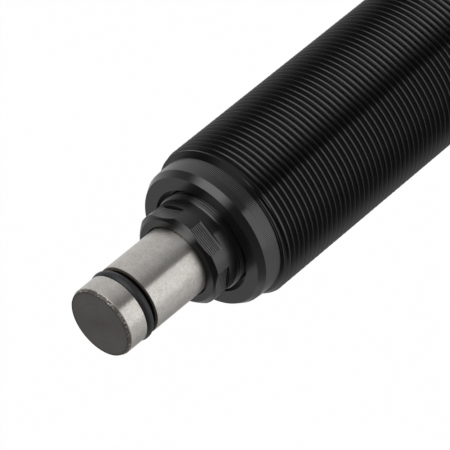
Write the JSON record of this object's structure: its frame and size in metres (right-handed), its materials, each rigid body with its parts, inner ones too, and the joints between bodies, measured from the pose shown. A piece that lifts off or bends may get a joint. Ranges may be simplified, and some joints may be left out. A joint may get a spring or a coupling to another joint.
{
  "type": "hydraulic cylinder",
  "caption": "Single-acting hydraulic cylinder with a fully threaded body, a screwed gland with spanner flats, a spring-returned ram and an O-ring on the ram's tip.",
  "frame": {"origin": "centre of the body's flat rear face, on the bore's axis", "axes": "+Z along the bore towards the ram's tip; the collar's two flats face +Y and -Y"},
  "size_m": [0.0382, 0.0382, 0.19],
  "materials": {
    "black_oxide_steel": "black-oxide steel with fine turned marks",
    "ground_steel": "ground, slightly warm grey",
    "bright_steel": "turned, lightly oiled",
    "spring_steel": "drawn, oiled wire",
    "bronze_bush": "sintered bronze, lined",
    "black_rubber": "soft satin nitrile rubber",
    "wiper_polyurethane": "dark amber polyurethane",
    "seal_polyurethane": "blue polyurethane",
    "backup_plastic": "off-white, matt",
    "wear_ring_plastic": "brown fabric-filled resin"
  },
  "bodies": {
    "cylinder": {"cylinder_body": "black_oxide_steel", "end_plug": "black_oxide_steel", "end_plug_o_ring": "black_rubber", "end_plug_backup_ring": "backup_plastic", "gland_nut": "black_oxide_steel", "gland_o_ring": "black_rubber", "rod_guide_bush": "bronze_bush", "rod_wiper": "wiper_polyurethane", "front_spring_seat": "bright_steel", "return_spring": "spring_steel"},
    "ram_assembly": {"ram": "ground_steel", "tip_o_ring": "black_rubber", "piston_head": "bright_steel", "piston_seal": "seal_polyurethane", "piston_backup_ring": "backup_plastic", "piston_o_ring": "black_rubber", "piston_wear_ring": "wear_ring_plastic", "piston_washer": "bright_steel", "piston_nut": "bright_steel", "rear_spring_seat": "bright_steel", "stop_tube": "bright_steel"}
  },
  "joints": [
    {"name": "ram_stroke", "type": "slide", "parent": "cylinder", "child": "ram_assembly", "axis": [0, 0, 1], "range_m": [0, 0.05], "stiffness_N_per_m": 1540, "springref_m": -0.02, "deforming": ["return_spring"]}
  ]
}
